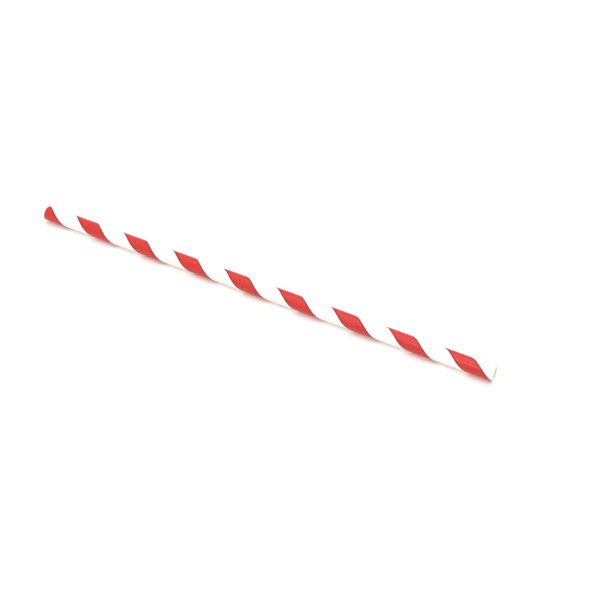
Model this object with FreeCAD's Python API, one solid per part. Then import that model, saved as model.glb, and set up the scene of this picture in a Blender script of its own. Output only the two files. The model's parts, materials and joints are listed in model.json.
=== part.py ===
import FreeCAD, Part
import math
import os
from FreeCAD import Placement, Rotation, Vector

# Paper drinking straw: three paper strips wound in a spiral and glued into one tube.
# Millimetres. The straw lies along X, +Z is up, and the origin is the middle of its
# underside, where it touches the table. Angles are taken about the straw's axis at its
# left end, from +Y towards +Z, so those of a right-hand winding grow along +X.

# The tube
STRAW_LENGTH = 197.0
OUTER_DIAMETER = 6.0

# Thickness of the three glued strips, from the outside in
OUTER_PLY = 0.15
MIDDLE_PLY = 0.15
INNER_PLY = 0.10

# The winding: how far the strips advance in one turn, and where the inner and outer
# strips' edges meet, half a turn apart so that no seam lies over another
WINDING_LEAD = 23.35
OUTER_SEAM_ANGLE = 308.7
SEAM_STAGGER = 180.0

# The printed stripe, measured square across the outer strip, along the middle of it
STRIPE_WIDTH = 7.0

# The narrow flat that the thin paper wall takes along its underside, where the straw lies
RESTING_FLAT_WIDTH = 1.2

# What follows from them
outer_radius = OUTER_DIAMETER / 2
bore_radius = outer_radius - OUTER_PLY - MIDDLE_PLY - INNER_PLY
axis_height = math.sqrt(outer_radius ** 2 - (RESTING_FLAT_WIDTH / 2) ** 2)
left_end = -STRAW_LENGTH / 2
strip_angle = math.atan2(math.pi * OUTER_DIAMETER, WINDING_LEAD)
stripe_along = STRIPE_WIDTH / math.sin(strip_angle)
stripe_half_turn = 360.0 * stripe_along / 2 / WINDING_LEAD
stripe_angle = OUTER_SEAM_ANGLE + 180.0
along = Vector(1, 0, 0)


def round_rod(radius):
    """A rod of the straw's length and place, centred on its axis."""
    return Part.makeCylinder(radius, STRAW_LENGTH, Vector(left_end, 0, 0), along)


def winding_line(radius, angle):
    """The line that one edge of a strip takes round the tube: a right-hand helix from end to end."""
    line = Part.makeHelix(WINDING_LEAD, STRAW_LENGTH, radius)
    line.Placement = Placement(Vector(left_end, 0, 0), Rotation(Vector(0, 1, 0), Vector(0, 0, 1), along, "XYZ"))
    line.rotate(Vector(0, 0, 0), along, angle)
    return line


def with_winding_marked(tube):
    """The tube with its seams and the printed stripe's two edges marked, so the stripe is faces of its own."""
    outer_seam = winding_line(outer_radius, OUTER_SEAM_ANGLE)
    inner_seam = winding_line(bore_radius, OUTER_SEAM_ANGLE + SEAM_STAGGER)
    stripe_edges = [winding_line(outer_radius, stripe_angle + side * stripe_half_turn) for side in (-1, 1)]
    marked, _ = tube.generalFuse([outer_seam, inner_seam] + stripe_edges)
    return marked.Solids[0]


def below_the_table_top():
    """The space under the table top, as a block that takes the resting flat off the tube."""
    corner = Vector(left_end, -outer_radius, -axis_height - OUTER_DIAMETER)
    return Part.makeBox(STRAW_LENGTH, OUTER_DIAMETER, OUTER_DIAMETER, corner)


def straw_tube():
    """The whole straw: one glued paper tube, cut square at both ends, lying on the table."""
    tube = round_rod(outer_radius).cut(round_rod(bore_radius))
    straw = with_winding_marked(tube).cut(below_the_table_top()).Solids[0]
    straw.translate(Vector(0, 0, axis_height))
    return straw


os.makedirs("parts", exist_ok=True)
straw_tube().exportStep("parts/straw_tube.step")
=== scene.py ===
import json
import math
import bpy
import numpy as np
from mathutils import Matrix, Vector


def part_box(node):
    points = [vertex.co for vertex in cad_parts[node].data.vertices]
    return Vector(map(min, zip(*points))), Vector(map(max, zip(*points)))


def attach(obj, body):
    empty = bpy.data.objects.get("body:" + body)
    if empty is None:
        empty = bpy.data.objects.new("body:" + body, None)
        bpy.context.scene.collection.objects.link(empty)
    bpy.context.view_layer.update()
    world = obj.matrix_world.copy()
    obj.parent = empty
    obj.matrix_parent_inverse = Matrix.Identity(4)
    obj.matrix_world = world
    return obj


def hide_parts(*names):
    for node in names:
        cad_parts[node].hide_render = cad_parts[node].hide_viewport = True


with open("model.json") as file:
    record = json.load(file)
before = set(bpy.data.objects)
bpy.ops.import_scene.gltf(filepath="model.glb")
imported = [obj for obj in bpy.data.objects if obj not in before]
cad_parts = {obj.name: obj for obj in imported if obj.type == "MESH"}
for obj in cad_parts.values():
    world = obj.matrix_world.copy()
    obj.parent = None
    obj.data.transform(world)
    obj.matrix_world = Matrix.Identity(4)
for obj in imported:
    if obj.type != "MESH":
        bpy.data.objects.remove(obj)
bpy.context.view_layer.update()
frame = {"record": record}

# The straw's wall: three strips of white paper wound in a right-hand spiral round a mandrel and
# glued. The outer strip's edges butt together in a fine seam. The inner strip's do so half a turn
# away, inside the bore, and the middle strip's seam only shows as a faint hollow.
MM = 0.001
low_corner, high_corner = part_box("straw_tube")
bore = next(mount for mount in frame["record"]["mounts"] if mount["name"] == "bore")
print_notes = frame["record"]["materials"][0]["pattern"]
straw_length = high_corner.x - low_corner.x
outer_radius = (high_corner.y - low_corner.y) / 2
bore_radius = bore["dims"]["r_mm"] * MM
axis_height = bore["pos_m"][2]
winding_lead = print_notes["lead_mm"] * MM
strip_slope = math.atan2(math.tau * outer_radius, winding_lead)
strip_width = winding_lead * math.sin(strip_slope)
stripe_width = print_notes["stripe_width_mm"] * MM
stripe_share = stripe_width / strip_width

# Places across a strip are shares of its width, counted from the outer seam. At the left end the
# stripe's middle stands at the angle that the part's own notes give.
STRIPE_AT = 0.5
OUTER_SEAM_AT = 0.0
INNER_SEAM_AT = 0.5
BURIED_SEAM_AT = 0.2
HALF_STRIP = 0.5
stripe_turn = math.radians(print_notes["middle_angle_deg"]) / math.tau
winding_start = STRIPE_AT + straw_length / 2 / winding_lead + stripe_turn

# Cross-sections of the seams: millimetres beside the seam, and how deep the paper lies there. The
# mandrel presses the seam in the bore to a share of that depth.
OPEN_SEAM = [(-0.35, 0.0), (-0.16, 0.005), (-0.08, 0.02), (-0.035, 0.07), (0.0, 0.12),
             (0.035, 0.07), (0.08, 0.02), (0.16, 0.005), (0.35, 0.0)]
BURIED_SEAM = [(-0.7, 0.0), (-0.25, 0.007), (0.0, 0.016), (0.25, 0.007), (0.7, 0.0)]
BORE_SEAM_SHARE = 0.7

# How finely a strip is drawn and wound: evenly spread points across it, steps to a turn, and turns
# to spare at the ends. Then, in millimetres, how close two points across it may stand, and how
# close points are one point, lie on a cut, or are met by the saw.
PLAIN_POINTS = 12
STEPS_PER_TURN = 72
SPARE_TURNS = 3
CLOSEST_POINTS = 0.03
ONE_POINT = 0.002
ON_THE_CUT = 0.001
MET_BY_SAW = 0.0001

# How wide and deep the hollows are where the damp paper dried unevenly, in millimetres
DRYING_SIZE = 7.0
DRYING_DEPTH = 0.035

# The three plies seen on a cut end: how far each line of the end lies back from the cut, from the
# bore's edge to the outer edge, and how wide and deep the fuzz is that the saw leaves
CUT_BACK = [0.035, 0.004, 0.030, 0.0, 0.0, 0.034, 0.002, 0.0, 0.045]
CUT_LINES = len(CUT_BACK) - 2
FUZZ_SIZE = 0.35
FUZZ_DEPTH = 0.05

# Faces that meet at less than this many degrees look like one smooth surface
SMOOTH_BELOW = 35


def share_beyond(share, other):
    """How far one place across the strip lies beyond another, the short way round."""
    return (share - other + HALF_STRIP) % 1.0 - HALF_STRIP


def seam_depth(share, section, seam_at):
    """How deep the paper lies at one place across the strip because of one seam, in metres."""
    beside = share_beyond(share, seam_at) * strip_width / MM
    return float(np.interp(beside, [p[0] for p in section], [p[1] for p in section])) * MM


def strip_points():
    """The places across one strip where its cross-section has a point."""
    points = [STRIPE_AT - stripe_share / 2, STRIPE_AT + stripe_share / 2]
    wanted = [OUTER_SEAM_AT + p[0] * MM / strip_width for p in OPEN_SEAM]
    wanted += [INNER_SEAM_AT + p[0] * MM / strip_width for p in OPEN_SEAM]
    wanted += [BURIED_SEAM_AT + p[0] * MM / strip_width for p in BURIED_SEAM]
    wanted += [k / PLAIN_POINTS for k in range(PLAIN_POINTS)]
    for place in wanted:
        gap = min(abs(share_beyond(place, kept)) for kept in points)
        if gap * strip_width > CLOSEST_POINTS * MM:
            points.append(place % 1.0)
    return sorted(points)


def wound_skin(name, radius_at):
    """One face of the wall: a strip's cross-section drawn along the straw and wound up."""
    shares = strip_points()
    shares.append(shares[0] + 1.0)
    turns = math.ceil(straw_length / winding_lead) + SPARE_TURNS
    start = -straw_length / 2 / winding_lead - SPARE_TURNS / 2
    first_strip = math.floor(start + winding_start)
    section = [Vector(((share + first_strip - winding_start) * winding_lead, radius_at(share), 0))
               for share in shares]
    bpy.ops.object.select_all(action="DESELECT")
    bpy.ops.mesh.primitive_plane_add(size=MM)
    skin = bpy.context.object
    skin.name = name
    bpy.ops.object.mode_set(mode="EDIT")
    bpy.ops.mesh.select_all(action="SELECT")
    bpy.ops.mesh.merge(type="CENTER")
    bpy.ops.transform.translate(value=section[0])
    for here, there in zip(section, section[1:]):
        bpy.ops.mesh.extrude_region_move(TRANSFORM_OT_translate={"value": there - here})
    bpy.ops.object.mode_set(mode="OBJECT")
    winding = skin.modifiers.new("winding", "SCREW")
    winding.axis = "X"
    winding.angle = math.tau
    winding.screw_offset = winding_lead
    winding.iterations = turns
    winding.steps = STEPS_PER_TURN
    winding.render_steps = STEPS_PER_TURN
    bpy.ops.object.modifier_apply(modifier=winding.name)
    bpy.ops.object.mode_set(mode="EDIT")
    bpy.ops.mesh.select_all(action="SELECT")
    bpy.ops.mesh.remove_doubles(threshold=ONE_POINT * MM)
    bpy.ops.mesh.normals_make_consistent(inside=False)
    bpy.ops.object.mode_set(mode="OBJECT")
    return skin


def outside_radius(share):
    """The outer strip's radius at one place across it, lower at its own seam and the buried one."""
    open_depth = seam_depth(share, OPEN_SEAM, OUTER_SEAM_AT)
    buried_depth = seam_depth(share, BURIED_SEAM, BURIED_SEAM_AT)
    return outer_radius - (open_depth + buried_depth)


def inside_radius(share):
    """The bore's radius at one place across the inner strip, wider at its seam."""
    return bore_radius + BORE_SEAM_SHARE * seam_depth(share, OPEN_SEAM, INNER_SEAM_AT)


def uneven(piece, name, size, depth, direction, group=""):
    """Presses soft shallow hollows into a piece, never bumps, so that it keeps its size."""
    clouds = bpy.data.textures.new(name, "CLOUDS")
    clouds.noise_scale = size * MM
    clouds.noise_depth = 1
    hollows = piece.modifiers.new(name, "DISPLACE")
    hollows.texture = clouds
    hollows.texture_coords = "LOCAL"
    hollows.direction = direction
    hollows.mid_level = 1.0
    hollows.strength = depth * MM
    hollows.vertex_group = group
    bpy.ops.object.modifier_apply(modifier=hollows.name)


def cut_square(skin):
    """Saws a wound face off at both ends of the straw."""
    bpy.context.view_layer.objects.active = skin
    bpy.ops.object.mode_set(mode="EDIT")
    for side in (-1, 1):
        bpy.ops.mesh.select_all(action="SELECT")
        bpy.ops.mesh.bisect(plane_co=(side * straw_length / 2, 0, 0), plane_no=(side, 0, 0),
                            clear_outer=True, threshold=MET_BY_SAW * MM)
    bpy.ops.object.mode_set(mode="OBJECT")


def select_where(piece, is_wanted):
    """Selects the points of a piece whose place passes a test, and opens it for editing."""
    bpy.ops.object.mode_set(mode="EDIT")
    bpy.ops.mesh.select_mode(type="VERT")
    bpy.ops.mesh.select_all(action="DESELECT")
    bpy.ops.object.mode_set(mode="OBJECT")
    for vertex in piece.data.vertices:
        vertex.select = is_wanted(vertex.co)
    bpy.ops.object.mode_set(mode="EDIT")


straw = wound_skin("paper_straw", outside_radius)
uneven(straw, "drying_hollows", DRYING_SIZE, DRYING_DEPTH, "NORMAL")
cut_square(straw)
bore_face = wound_skin("bore_face", inside_radius)
cut_square(bore_face)

# Both faces become one wall. At each cut end the bore's edge is drawn out a little and bridged to
# the outer edge, the bridge is pressed flat into the cut, and its lines become the plies' edges.
bpy.ops.object.select_all(action="DESELECT")
bore_face.select_set(True)
straw.select_set(True)
bpy.context.view_layer.objects.active = straw
bpy.ops.object.join()
ply_step = (outer_radius - bore_radius) / (CUT_LINES + 1)
wall_middle = (outer_radius + bore_radius) / 2
for side in (-1, 1):
    cut = side * straw_length / 2
    nearly_cut = straw_length / 2 - ON_THE_CUT * MM
    select_where(straw, lambda co: co.x * side > nearly_cut
                 and math.hypot(co.y, co.z) < wall_middle)
    bpy.ops.transform.translate(value=(side * MM, 0, 0))
    select_where(straw, lambda co: co.x * side > nearly_cut)
    bpy.ops.mesh.bridge_edge_loops(number_cuts=CUT_LINES, interpolation="LINEAR")
    select_where(straw, lambda co: co.x * side > nearly_cut)
    bpy.ops.transform.resize(value=(0, 1, 1), center_override=(cut, 0, 0))
    bpy.ops.object.mode_set(mode="OBJECT")
    on_cut = [v.index for v in straw.data.vertices if abs(v.co.x - cut) < ON_THE_CUT * MM]
    straw.vertex_groups.new(name="cut_end").add(on_cut, 1.0, "REPLACE")
    for line, back in enumerate(CUT_BACK):
        line_radius = bore_radius + line * ply_step
        select_where(straw, lambda co: abs(co.x - cut) < ON_THE_CUT * MM
                     and abs(math.hypot(co.y, co.z) - line_radius) < ply_step / 2)
        bpy.ops.transform.translate(value=(-side * back * MM, 0, 0))
    bpy.ops.object.mode_set(mode="OBJECT")
    uneven(straw, "cut_fuzz", FUZZ_SIZE, side * FUZZ_DEPTH, "X", group="cut_end")
    straw.vertex_groups.remove(straw.vertex_groups["cut_end"])

# The narrow flat along the underside, and the straw raised until it lies on the table
select_where(straw, lambda co: co.z < -axis_height)
bpy.ops.transform.resize(value=(1, 1, 0), center_override=(0, 0, -axis_height))
bpy.ops.mesh.select_all(action="SELECT")
bpy.ops.transform.translate(value=(0, 0, axis_height))
bpy.ops.mesh.normals_make_consistent(inside=False)
bpy.ops.object.mode_set(mode="OBJECT")
bpy.ops.object.shade_smooth_by_angle(angle=math.radians(SMOOTH_BELOW))

# The paper and its print. The outer strip is white kraft with one red stripe, printed in flat
# ink that runs a little into the fibres and lies thickest along its two edges. The bore is bare
# paper, and a cut end shows the three plies with thin lines of glue between them.
INK_RED = (0.53, 0.019, 0.018, 1)
INK_THIN = (0.66, 0.048, 0.036, 1)
INK_EDGE = (0.20, 0.007, 0.015, 1)
PAPER_WHITE = (0.905, 0.890, 0.865, 1)
PAPER_HOLLOW = (0.840, 0.812, 0.770, 1)
BORE_PAPER = (0.86, 0.84, 0.80, 1)
SAWN_PAPER = (0.78, 0.745, 0.69, 1)
GLUE_LINE = (0.62, 0.54, 0.44, 1)

# Grains of paper and print: how fine they are along and across a strip, to the millimetre
FIBRES = (1.1, 5.0, 1.0)
CLOUDING = (0.22, 0.35, 1.0)
SPECKLE = (3.2, 3.6, 1.0)
INK_PATCHES = (0.8, 1.1, 1.0)
EDGE_WANDER = (1.6, 0.0, 1.0)
SAWN_FUZZ = (6.0, 6.0, 6.0)

# How a grain, the ink, or a distance in millimetres shows. From the first value to the second,
# what it does goes from the third to the fourth, or from none to all where there are only two.
PAPER_CLOUDS = (0.35, 0.7)
PAPER_FIBRES = (0.45, 0.75, 0.0, 0.25)
OUTER_SEAM_LINE = (0.03, 0.13, 0.35, 0.0)
INK_STARTS = (-0.04, 0.05)
INK_EDGE_FADES = (0.20, 0.75, 1.0, 0.0)
SPECKLE_THINS = (0.35, 0.72, 0.0, 0.25)
PATCHES_THIN = (0.38, 0.66, 0.0, 0.45)
ROUGHNESS_BY_INK = (0.0, 1.0, 0.66, 0.36)
ROUGHNESS_BY_SPECKLE = (0.3, 0.7, -0.05, 0.06)
BORE_FIBRES = (0.4, 0.75)
BORE_SEAM_LINE = (0.03, 0.15, 0.6, 0.0)
SAWN_FIBRES = (0.35, 0.7)
GLUE_SHOWS = (0.008, 0.03, 0.7, 0.0)

# How far the stripe's edge wanders as its grain leaves its middle value, and how far out from
# the bore the two glue lines lie, in millimetres
WANDER_WIDTH = 0.22
GRAIN_MIDDLE = 0.5
INNER_GLUE = 0.10
OUTER_GLUE = 0.25

# How shiny and rough the papers are, and how high their fibres stand, in millimetres
PRINT_SHINE = 0.35
BORE_ROUGHNESS = 0.8
SAWN_ROUGHNESS = 0.9
PRINT_RELIEF = 0.018
BORE_RELIEF = 0.014
SAWN_RELIEF = 0.02

# The colour sockets of a Mix node, which come after its sockets for numbers and vectors
MIX_FIRST = 6
MIX_SECOND = 7
MIX_RESULT = 2

# A face belongs to a cut end if it looks this squarely along the straw, this near its end in
# millimetres. The papers' places in the straw's list follow.
END_FACING = 0.75
END_DEPTH = 0.2
BORE_PLACE = 1
CUT_PLACE = 2


class Finish:
    """A material under construction: each call adds nodes and gives back what comes out."""

    def __init__(self, name):
        self.material = bpy.data.materials.new(name)
        self.material.use_nodes = True
        self.nodes = self.material.node_tree.nodes
        self.links = self.material.node_tree.links
        self.surface = self.nodes["Principled BSDF"]

    def put(self, socket, value):
        """Links an output to a socket, or sets the socket to a plain value."""
        if isinstance(value, bpy.types.NodeSocket):
            self.links.new(value, socket)
        else:
            socket.default_value = value

    def maths(self, operation, *values):
        """One sum on one or two values."""
        node = self.nodes.new("ShaderNodeMath")
        node.operation = operation
        for socket, value in zip(node.inputs, values):
            self.put(socket, value)
        return node.outputs[0]

    def ramp(self, value, low, high, at_low=0.0, at_high=1.0, soft=False):
        """Turns the values from low to high into those from at_low to at_high."""
        node = self.nodes.new("ShaderNodeMapRange")
        node.interpolation_type = "SMOOTHSTEP" if soft else "LINEAR"
        for name, number in (("Value", value), ("From Min", low), ("From Max", high),
                             ("To Min", at_low), ("To Max", at_high)):
            self.put(node.inputs[name], number)
        return node.outputs["Result"]

    def blend(self, share, first, second):
        """The first colour, with a share of the second over it."""
        node = self.nodes.new("ShaderNodeMix")
        node.data_type = "RGBA"
        self.put(node.inputs["Factor"], share)
        self.put(node.inputs[MIX_FIRST], first)
        self.put(node.inputs[MIX_SECOND], second)
        return node.outputs[MIX_RESULT]

    def grain(self, place, fineness, detail=3.0, roughness=0.55):
        """A cloudy grain, as fine along each direction as asked."""
        scaled = self.nodes.new("ShaderNodeVectorMath")
        scaled.operation = "MULTIPLY"
        self.put(scaled.inputs[0], place)
        self.put(scaled.inputs[1], fineness)
        noise = self.nodes.new("ShaderNodeTexNoise")
        self.put(noise.inputs["Vector"], scaled.outputs[0])
        noise.inputs["Scale"].default_value = 1.0
        noise.inputs["Detail"].default_value = detail
        noise.inputs["Roughness"].default_value = roughness
        return noise.outputs["Fac"]

    def relief(self, height, depth):
        """A grain that stands up from the surface by a depth in millimetres."""
        node = self.nodes.new("ShaderNodeBump")
        node.inputs["Strength"].default_value = 1.0
        node.inputs["Distance"].default_value = depth * MM
        self.put(node.inputs["Height"], height)
        return node.outputs["Normal"]

    def place(self):
        """A point's place on the piece."""
        return self.nodes.new("ShaderNodeTexCoord").outputs["Object"]

    def parts(self, place):
        """The X, Y and Z of a place."""
        node = self.nodes.new("ShaderNodeSeparateXYZ")
        self.put(node.inputs[0], place)
        return node.outputs

    def across_strip(self, share, start):
        """How far a share of the strip's width lies from a place across it, in millimetres."""
        return self.maths("MULTIPLY", self.maths("SUBTRACT", share, start), strip_width / MM)

    def strip_places(self):
        """A point's share across its strip, and its place on the strip laid flat, in mm."""
        parts = self.parts(self.place())
        up = self.maths("SUBTRACT", parts["Z"], axis_height)
        round_straw = self.maths("DIVIDE", self.maths("ARCTAN2", up, parts["Y"]), math.tau)
        leads = self.maths("ADD", self.maths("DIVIDE", parts["X"], winding_lead), winding_start)
        share = self.maths("FRACT", self.maths("SUBTRACT", leads, round_straw))
        turns = self.maths("SUBTRACT", leads, share)
        turn_length = math.tau * outer_radius * math.sin(strip_slope) / MM
        along = self.maths("ADD",
                           self.maths("MULTIPLY", parts["X"], math.cos(strip_slope) / MM),
                           self.maths("MULTIPLY", turns, turn_length))
        flat = self.nodes.new("ShaderNodeCombineXYZ")
        self.put(flat.inputs[0], along)
        self.put(flat.inputs[1], self.across_strip(share, STRIPE_AT))
        return share, flat.outputs[0]


def striped_paper():
    """The outer strip: white kraft with the red stripe printed along its middle."""
    finish = Finish("striped_paper")
    share, flat = finish.strip_places()
    fibres = finish.grain(flat, FIBRES, detail=4.0)
    clouding = finish.grain(flat, CLOUDING, detail=2.0)
    speckle = finish.grain(flat, SPECKLE, detail=2.0)
    patches = finish.grain(flat, INK_PATCHES, detail=2.0)

    wander = finish.maths("SUBTRACT", finish.grain(flat, EDGE_WANDER), GRAIN_MIDDLE)
    wander = finish.maths("MULTIPLY", wander, WANDER_WIDTH)
    off_middle = finish.maths("ADD", finish.across_strip(share, STRIPE_AT), wander)
    inside_edge = finish.maths("SUBTRACT", stripe_width / 2 / MM,
                               finish.maths("ABSOLUTE", off_middle))
    ink = finish.ramp(inside_edge, *INK_STARTS, soft=True)
    edge = finish.ramp(inside_edge, *INK_EDGE_FADES, soft=True)

    off_stripe = finish.maths("ABSOLUTE", finish.maths("SUBTRACT", share, STRIPE_AT))
    off_seam = finish.maths("ABSOLUTE", finish.maths("SUBTRACT", off_stripe, HALF_STRIP))
    seam = finish.maths("MULTIPLY", off_seam, strip_width / MM)
    bare = finish.blend(finish.ramp(clouding, *PAPER_CLOUDS), PAPER_WHITE, PAPER_HOLLOW)
    bare = finish.blend(finish.ramp(fibres, *PAPER_FIBRES), bare, PAPER_HOLLOW)
    bare = finish.blend(finish.ramp(seam, *OUTER_SEAM_LINE, soft=True), bare, GLUE_LINE)

    thinned = finish.maths("ADD", finish.ramp(speckle, *SPECKLE_THINS),
                           finish.ramp(patches, *PATCHES_THIN))
    red = finish.blend(thinned, INK_RED, INK_THIN)
    red = finish.blend(edge, red, INK_EDGE)
    finish.put(finish.surface.inputs["Base Color"], finish.blend(ink, bare, red))
    finish.put(finish.surface.inputs["Roughness"],
               finish.maths("ADD", finish.ramp(ink, *ROUGHNESS_BY_INK),
                            finish.ramp(speckle, *ROUGHNESS_BY_SPECKLE)))
    finish.surface.inputs["Specular IOR Level"].default_value = PRINT_SHINE
    finish.put(finish.surface.inputs["Normal"], finish.relief(fibres, PRINT_RELIEF))
    return finish.material


def bare_paper():
    """The inner strip, seen in the bore, with its seam."""
    finish = Finish("bore_paper")
    share, flat = finish.strip_places()
    fibres = finish.grain(flat, FIBRES, detail=4.0)
    seam = finish.maths("ABSOLUTE", finish.across_strip(share, INNER_SEAM_AT))
    shade = finish.blend(finish.ramp(fibres, *BORE_FIBRES), BORE_PAPER, PAPER_HOLLOW)
    shade = finish.blend(finish.ramp(seam, *BORE_SEAM_LINE, soft=True), shade, GLUE_LINE)
    finish.put(finish.surface.inputs["Base Color"], shade)
    finish.surface.inputs["Roughness"].default_value = BORE_ROUGHNESS
    finish.put(finish.surface.inputs["Normal"], finish.relief(fibres, BORE_RELIEF))
    return finish.material


def cut_paper():
    """The sawn ends, with the two lines of glue between the plies."""
    finish = Finish("cut_paper")
    place = finish.place()
    in_mm = finish.nodes.new("ShaderNodeVectorMath")
    in_mm.operation = "SCALE"
    finish.put(in_mm.inputs[0], place)
    in_mm.inputs["Scale"].default_value = 1 / MM
    fuzz = finish.grain(in_mm.outputs[0], SAWN_FUZZ)

    parts = finish.parts(place)
    up = finish.maths("SUBTRACT", parts["Z"], axis_height)
    radius = finish.maths("SQRT", finish.maths("ADD", finish.maths("MULTIPLY", up, up),
                                               finish.maths("MULTIPLY", parts["Y"], parts["Y"])))
    into_wall = finish.maths("DIVIDE", finish.maths("SUBTRACT", radius, bore_radius), MM)
    off_inner_glue = finish.maths("ABSOLUTE", finish.maths("SUBTRACT", into_wall, INNER_GLUE))
    off_outer_glue = finish.maths("ABSOLUTE", finish.maths("SUBTRACT", into_wall, OUTER_GLUE))
    off_glue = finish.maths("MINIMUM", off_inner_glue, off_outer_glue)
    shade = finish.blend(finish.ramp(fuzz, *SAWN_FIBRES), PAPER_WHITE, SAWN_PAPER)
    shade = finish.blend(finish.ramp(off_glue, *GLUE_SHOWS, soft=True), shade, GLUE_LINE)
    finish.put(finish.surface.inputs["Base Color"], shade)
    finish.surface.inputs["Roughness"].default_value = SAWN_ROUGHNESS
    finish.put(finish.surface.inputs["Normal"], finish.relief(fuzz, SAWN_RELIEF))
    return finish.material


for paper in (striped_paper(), bare_paper(), cut_paper()):
    straw.data.materials.append(paper)
for face in straw.data.polygons:
    from_axis = math.hypot(face.center.y, face.center.z - axis_height)
    near_end = abs(face.center.x) > straw_length / 2 - END_DEPTH * MM
    if abs(face.normal.x) > END_FACING and near_end:
        face.material_index = CUT_PLACE
    elif from_axis < wall_middle:
        face.material_index = BORE_PLACE
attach(straw, "root")
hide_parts("straw_tube")

# The table under the straw: one sheet of matt white board that runs out of the picture. Its
# faint tooth and shading are given as how fine they are to the metre, and it is sized in metres.
TABLE_SIZE = 8.0
TABLE_CUTS = 8
BOARD_WHITE = (0.930, 0.892, 0.862, 1)
BOARD_PALE = (0.940, 0.902, 0.872, 1)
BOARD_TOOTH = (900.0, 900.0, 900.0)
BOARD_SHADING = (6.0, 6.0, 6.0)
SHADING_SHOWS = (0.3, 0.7)
BOARD_ROUGHNESS = 0.85
BOARD_SHINE = 0.2
BOARD_RELIEF = 0.02
bpy.ops.object.select_all(action="DESELECT")
bpy.ops.mesh.primitive_plane_add(size=TABLE_SIZE)
table_top = bpy.context.object
table_top.name = "table_top"
bpy.ops.object.mode_set(mode="EDIT")
bpy.ops.mesh.select_all(action="SELECT")
bpy.ops.mesh.subdivide(number_cuts=TABLE_CUTS)
bpy.ops.object.mode_set(mode="OBJECT")


def matt_board():
    """White board with a fine tooth and next to no shine."""
    finish = Finish("matt_board")
    place = finish.place()
    tooth = finish.grain(place, BOARD_TOOTH)
    shading = finish.grain(place, BOARD_SHADING, detail=1.0)
    finish.put(finish.surface.inputs["Base Color"],
               finish.blend(finish.ramp(shading, *SHADING_SHOWS), BOARD_WHITE, BOARD_PALE))
    finish.surface.inputs["Roughness"].default_value = BOARD_ROUGHNESS
    finish.surface.inputs["Specular IOR Level"].default_value = BOARD_SHINE
    finish.put(finish.surface.inputs["Normal"], finish.relief(tooth, BOARD_RELIEF))
    return finish.material


table_top.data.materials.append(matt_board())

# The light: a very broad soft lamp above and a little behind the straw, a small one above and in
# front that gives the print its narrow gleam and lightens the shadow before the straw, and a pale
# room. For each lamp: which way it lies from the straw, how broad it is in degrees, its strength.
LAMPS = {"soft_lamp": (Vector((0.12, 0.23, 0.965)), 60.0, 1.65),
         "front_lamp": (Vector((-0.04, -0.60, 0.80)), 8.0, 0.70)}
for name, (lamp_from, breadth, strength) in LAMPS.items():
    bpy.ops.object.light_add(type="SUN", location=lamp_from)
    lamp = bpy.context.object
    lamp.name = name
    lamp.data.angle = math.radians(breadth)
    lamp.data.energy = strength
    lamp.rotation_euler = (-lamp_from).to_track_quat("-Z", "Y").to_euler()

# The room is brightest where its white walls meet the table, and fades to the ceiling between
# two heights, as shares of straight up
ROOM_WHITE = (1.0, 1.0, 1.0, 1)
WALL_GLOW = 0.97
CEILING_GLOW = 0.66
FADE_START = 0.12
FADE_END = 0.45
room = bpy.data.worlds.new("pale_room")
room.use_nodes = True
walls = room.node_tree.nodes
towards = walls.new("ShaderNodeTexCoord")
heights = walls.new("ShaderNodeSeparateXYZ")
glow = walls.new("ShaderNodeMapRange")
glow.interpolation_type = "SMOOTHSTEP"
glow.inputs["From Min"].default_value = FADE_START
glow.inputs["From Max"].default_value = FADE_END
glow.inputs["To Min"].default_value = WALL_GLOW
glow.inputs["To Max"].default_value = CEILING_GLOW
room.node_tree.links.new(towards.outputs["Generated"], heights.inputs[0])
room.node_tree.links.new(heights.outputs["Z"], glow.inputs["Value"])
room.node_tree.links.new(glow.outputs["Result"], walls["Background"].inputs["Strength"])
walls["Background"].inputs["Color"].default_value = ROOM_WHITE
bpy.context.scene.world = room
bpy.context.scene.view_settings.view_transform = "Standard"
bpy.context.scene.view_settings.look = "None"

# The camera stands above and in front of the straw, a little past its right end. Its sensor and
# lens are in millimetres, and it sees what lies between the two distances, in metres.
CAMERA_PLACE = Vector((140.00, -248.49, 308.83)) * MM
CAMERA_TOWARDS = Vector((-0.29409, 0.60510, -0.73984))
SENSOR_WIDTH = 36.0
LENS = 63.752
NEAREST_SEEN = 0.01
FARTHEST_SEEN = 20.0
bpy.ops.object.camera_add(location=CAMERA_PLACE)
camera = bpy.context.object
camera.name = "camera"
camera.rotation_euler = CAMERA_TOWARDS.to_track_quat("-Z", "Y").to_euler()
camera.data.sensor_width = SENSOR_WIDTH
camera.data.lens = LENS
camera.data.clip_start = NEAREST_SEEN
camera.data.clip_end = FARTHEST_SEEN
bpy.context.scene.camera = camera
